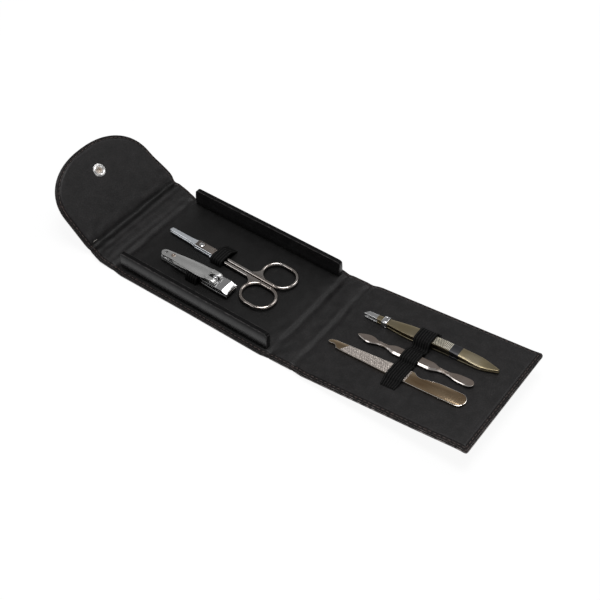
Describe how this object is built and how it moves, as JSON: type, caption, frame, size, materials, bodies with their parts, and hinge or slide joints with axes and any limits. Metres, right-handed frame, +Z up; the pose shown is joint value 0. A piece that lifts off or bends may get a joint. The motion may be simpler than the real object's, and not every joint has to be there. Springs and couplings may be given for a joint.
{
  "type": "manicure set case",
  "caption": "Folding black artificial-leather case lying open, with a snap flap, side walls and elastics that hold scissors, nail clipper, tweezers, cuticle pusher and nail file.",
  "frame": {"origin": "middle of the tray's underside, where the open case rests on the table", "axes": "+X along the open case towards the cover's free end, +Y across it to the far side, +Z up"},
  "size_m": [0.2903, 0.076, 0.0384],
  "materials": {
    "skin": "black grained artificial leather, satin",
    "board": "pressed grey board",
    "lining": "matt black lining",
    "elastic": "black ribbed elastic",
    "nickel": "bright nickel plate",
    "spring_wire": "dark spring wire",
    "scissor_steel": "polished steel with satin blades",
    "clipper_steel": "satin nickel plated sheet",
    "tweezer_steel": "warm satin nickel",
    "pusher_steel": "polished steel",
    "file_steel": "warm polished handle, grey cut face"
  },
  "bodies": {
    "tray": {"tray_skin": "skin", "tray_board": "board", "tray_lining": "lining", "near_wall_skin": "skin", "near_wall_board": "board", "far_wall_skin": "skin", "far_wall_board": "board", "scissors_loop": "elastic", "clipper_loop": "elastic", "tray_cover_fold": "skin", "tray_flap_fold": "skin"},
    "cover_spine": {"cover_spine_skin": "skin", "cover_spine_board": "board", "cover_spine_lining": "lining", "cover_fold": "skin"},
    "cover": {"cover_skin": "skin", "cover_board": "board", "cover_lining": "lining", "cover_band": "elastic", "stud": "nickel", "stud_base": "nickel"},
    "flap_spine": {"flap_spine_skin": "skin", "flap_spine_board": "board", "flap_spine_lining": "lining", "flap_fold": "skin"},
    "flap": {"flap_skin": "skin", "flap_board": "board", "flap_lining": "lining", "snap_cap": "nickel", "snap_socket": "nickel", "snap_spring": "spring_wire"},
    "scissors": {"scissors_near_arm": "scissor_steel", "scissors_screw": "scissor_steel"},
    "scissors_far_arm": {"scissors_far_arm": "scissor_steel"},
    "clipper": {"clipper_lower_jaw": "clipper_steel", "clipper_eyelet": "clipper_steel"},
    "clipper_upper_jaw": {"clipper_upper_jaw": "clipper_steel"},
    "clipper_post": {"clipper_post": "clipper_steel"},
    "clipper_lever": {"clipper_lever": "clipper_steel", "clipper_file_rivet": "clipper_steel"},
    "clipper_file": {"clipper_file": "clipper_steel"},
    "tweezers": {"tweezers_lower_arm": "tweezer_steel"},
    "tweezers_upper_arm": {"tweezers_upper_arm": "tweezer_steel"},
    "tweezers_ring": {"tweezers_ring": "nickel"},
    "cuticle_pusher": {"cuticle_pusher": "pusher_steel"},
    "nail_file": {"nail_file": "file_steel"}
  },
  "joints": [
    {"name": "cover_spine_fold", "type": "hinge", "parent": "tray", "child": "cover_spine", "pos_m": [0.056, 0, 0.0004], "axis": [0, -1, 0], "range_deg": [-2, 86.7], "deforming": ["tray_cover_fold"]},
    {"name": "cover_fold", "type": "hinge", "parent": "cover_spine", "child": "cover", "pos_m": [0.07172, 0, 0.00131], "axis": [0, -1, 0], "range_deg": [-2.4, 86.7], "deforming": ["cover_fold"]},
    {"name": "flap_spine_fold", "type": "hinge", "parent": "tray", "child": "flap_spine", "pos_m": [-0.056, 0, 0.0004], "axis": [0, 1, 0], "range_deg": [-6.5, 83], "deforming": ["tray_flap_fold"]},
    {"name": "flap_fold", "type": "hinge", "parent": "flap_spine", "child": "flap", "pos_m": [-0.0759, 0, 0.00284], "axis": [0, 1, 0], "range_deg": [-34, 54], "deforming": ["flap_fold"]},
    {"name": "scissors_draw", "type": "slide", "parent": "tray", "child": "scissors", "axis": [-0.9972, 0.0261, -0.0698], "range_m": [-0.045, 0], "deforming": ["scissors_loop"]},
    {"name": "scissors_pivot", "type": "hinge", "parent": "scissors", "child": "scissors_far_arm", "pos_m": [-0.0242, 0.0032, 0.0058], "axis": [0, 0, 1], "range_deg": [0, 11]},
    {"name": "clipper_lift", "type": "slide", "parent": "tray", "child": "clipper", "axis": [0, 0, -1], "range_m": [-0.018, 0], "deforming": ["clipper_loop"]},
    {"name": "clipper_squeeze", "type": "hinge", "parent": "clipper", "child": "clipper_upper_jaw", "pos_m": [-0.035, -0.015, 0.00445], "axis": [0, 1, 0], "range_deg": [0, 1.05], "stiffness_Nm_per_rad": 2},
    {"name": "lever_swivel", "type": "hinge", "parent": "clipper", "child": "clipper_post", "pos_m": [0.001, -0.015, 0], "axis": [0, 0, 1], "range_deg": [-180, 0]},
    {"name": "lever_tilt", "type": "hinge", "parent": "clipper_post", "child": "clipper_lever", "pos_m": [0.001, -0.015, 0.0103], "axis": [0, -1, 0], "range_deg": [-160, 0]},
    {"name": "clipper_file_swing", "type": "hinge", "parent": "clipper_lever", "child": "clipper_file", "pos_m": [-0.02997, -0.015, 0.00895], "axis": [0.0436, 0, -0.999], "range_deg": [-150, 0]},
    {"name": "tweezers_draw", "type": "slide", "parent": "cover", "child": "tweezers", "axis": [-0.9934, 0, -0.1149], "range_m": [-0.05, 0], "deforming": ["cover_band"]},
    {"name": "tweezers_squeeze", "type": "hinge", "parent": "tweezers", "child": "tweezers_upper_arm", "pos_m": [0.1631, 0.0148, 0.0155], "axis": [0, -1, 0], "range_deg": [0, 0.3], "stiffness_Nm_per_rad": 2},
    {"name": "tweezers_ring_slide", "type": "slide", "parent": "tweezers", "child": "tweezers_ring", "axis": [0.9934, 0, 0.1149], "range_m": [-0.006, 0]},
    {"name": "pusher_draw", "type": "slide", "parent": "cover", "child": "cuticle_pusher", "axis": [-0.9934, 0, -0.1149], "range_m": [-0.045, 0]},
    {"name": "file_draw", "type": "slide", "parent": "cover", "child": "nail_file", "axis": [-0.9934, 0, -0.1149], "range_m": [-0.056, 0]}
  ]
}
